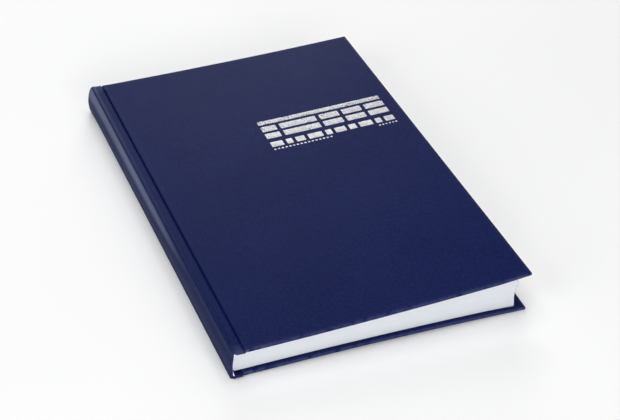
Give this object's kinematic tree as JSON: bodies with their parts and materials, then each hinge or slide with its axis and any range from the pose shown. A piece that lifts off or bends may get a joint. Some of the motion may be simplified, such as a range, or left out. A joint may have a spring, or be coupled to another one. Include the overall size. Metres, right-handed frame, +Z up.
{
  "type": "ledger book",
  "caption": "Thick hardback ledger book in navy book cloth with a rounded spine, French grooves and plain leaves; opens at its middle and at its front cover.",
  "frame": {"origin": "middle of the underside: bottom centre of the closed book's box, lying on its back cover", "axes": "+Y from the tail to the head along the spine, +X from the spine to the fore-edge, +Z up through the leaves to the front cover"},
  "size_m": [0.2018, 0.2964, 0.0304],
  "materials": {
    "book_cloth": "fine grained, slight sheen",
    "board": "matt grey millboard",
    "endpaper": "matt, smooth",
    "leaf_paper": "matt, cut edges",
    "gauze": "open weave, glued",
    "thread": "twisted cotton"
  },
  "bodies": {
    "back_cover": {"back_cover_cloth": "book_cloth", "back_board": "board", "back_pastedown": "endpaper", "back_joint_cloth": "book_cloth", "back_flyleaf": "endpaper", "spine_lining": "gauze", "section_11": "leaf_paper", "section_12": "leaf_paper", "section_13": "leaf_paper", "section_14": "leaf_paper", "section_15": "leaf_paper", "section_16": "leaf_paper", "section_17": "leaf_paper", "section_18": "leaf_paper", "section_19": "leaf_paper", "section_20": "leaf_paper", "lower_stitch_1": "thread", "lower_stitch_2": "thread", "lower_stitch_3": "thread", "lower_stitch_4": "thread", "lower_stitch_5": "thread"},
    "upper_leaves": {"section_01": "leaf_paper", "section_02": "leaf_paper", "section_03": "leaf_paper", "section_04": "leaf_paper", "section_05": "leaf_paper", "section_06": "leaf_paper", "section_07": "leaf_paper", "section_08": "leaf_paper", "section_09": "leaf_paper", "section_10": "leaf_paper", "front_flyleaf": "endpaper", "upper_stitch_1": "thread", "upper_stitch_2": "thread", "upper_stitch_3": "thread", "upper_stitch_4": "thread", "upper_stitch_5": "thread"},
    "spine": {"spine_cloth": "book_cloth", "spine_card": "board"},
    "front_joint": {"front_joint_cloth": "book_cloth"},
    "front_cover": {"front_cover_cloth": "book_cloth", "front_board": "board", "front_pastedown": "endpaper"}
  },
  "joints": [
    {"name": "open_at_middle", "type": "hinge", "parent": "back_cover", "child": "upper_leaves", "pos_m": [-0.09918, 0, 0.0106], "axis": [0, -1, 0], "range_deg": [0, 177], "deforming": ["spine_lining"]},
    {"name": "spine_swing", "type": "hinge", "parent": "back_cover", "child": "spine", "pos_m": [-0.09873, 0, 0.0022], "axis": [0, -1, 0], "range_deg": [0, 88.5]},
    {"name": "groove_turn", "type": "hinge", "parent": "spine", "child": "front_joint", "pos_m": [-0.09873, 0, 0.01888], "axis": [0, -1, 0], "range_deg": [0, 88.5]},
    {"name": "front_cover_hinge", "type": "hinge", "parent": "front_joint", "child": "front_cover", "pos_m": [-0.09115, 0, 0.02148], "axis": [0, -1, 0], "range_deg": [0, 177]}
  ],
  "couplings": [
    {"joint": "spine_swing", "follows": "open_at_middle", "ratio": 0.5},
    {"joint": "groove_turn", "follows": "open_at_middle", "ratio": 0.5}
  ]
}
